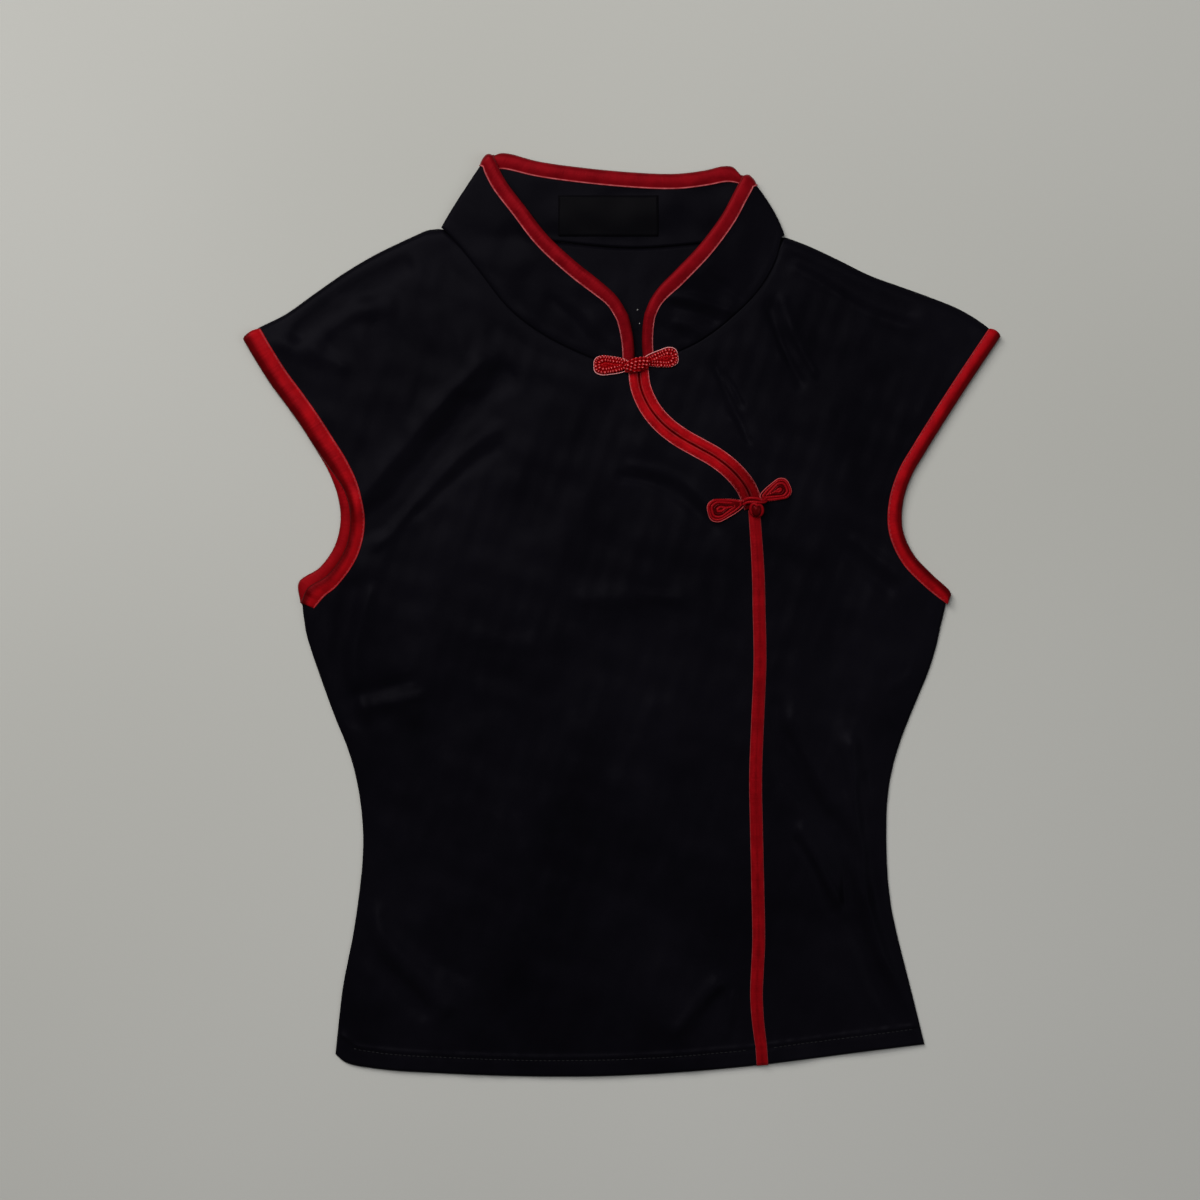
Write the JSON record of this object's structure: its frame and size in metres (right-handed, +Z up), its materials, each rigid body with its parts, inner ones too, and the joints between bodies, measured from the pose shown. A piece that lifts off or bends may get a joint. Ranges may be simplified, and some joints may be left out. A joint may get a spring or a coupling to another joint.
{
  "type": "cheongsam top",
  "caption": "Cap-sleeve cheongsam top laid flat, with stand collar, S-curved front opening, contrast binding and corded frog fastenings.",
  "frame": {"origin": "bottom centre of the bounding box, on the surface that the garment lies on", "axes": "+Y from hem to collar, +X towards the wearer's left, +Z up, out of the front of the garment"},
  "size_m": [0.4845, 0.592, 0.0124],
  "materials": {
    "cloth": "black satin-faced stretch jersey, soft sheen",
    "tape": "dark red satin bias binding",
    "cord": "red satin cord, coiled and stitched",
    "label": "plain black woven tape, bare"
  },
  "bodies": {
    "root": {"back_panel": "cloth", "front_right": "cloth", "front_left": "cloth", "collar": "cloth", "collar_binding": "tape", "armhole_binding_back_right": "tape", "armhole_binding_back_left": "tape", "armhole_binding_front_right": "tape", "armhole_binding_front_left": "tape", "opening_binding_right": "tape", "opening_binding_left": "tape", "opening_band": "tape", "frog_upper_loop_pad": "cord", "frog_upper_knot_pad": "cord", "frog_upper_knot": "cord", "frog_lower_loop_pad": "cord", "frog_lower_knot_pad": "cord", "frog_lower_knot": "cord", "neck_label": "label"}
  },
  "joints": []
}
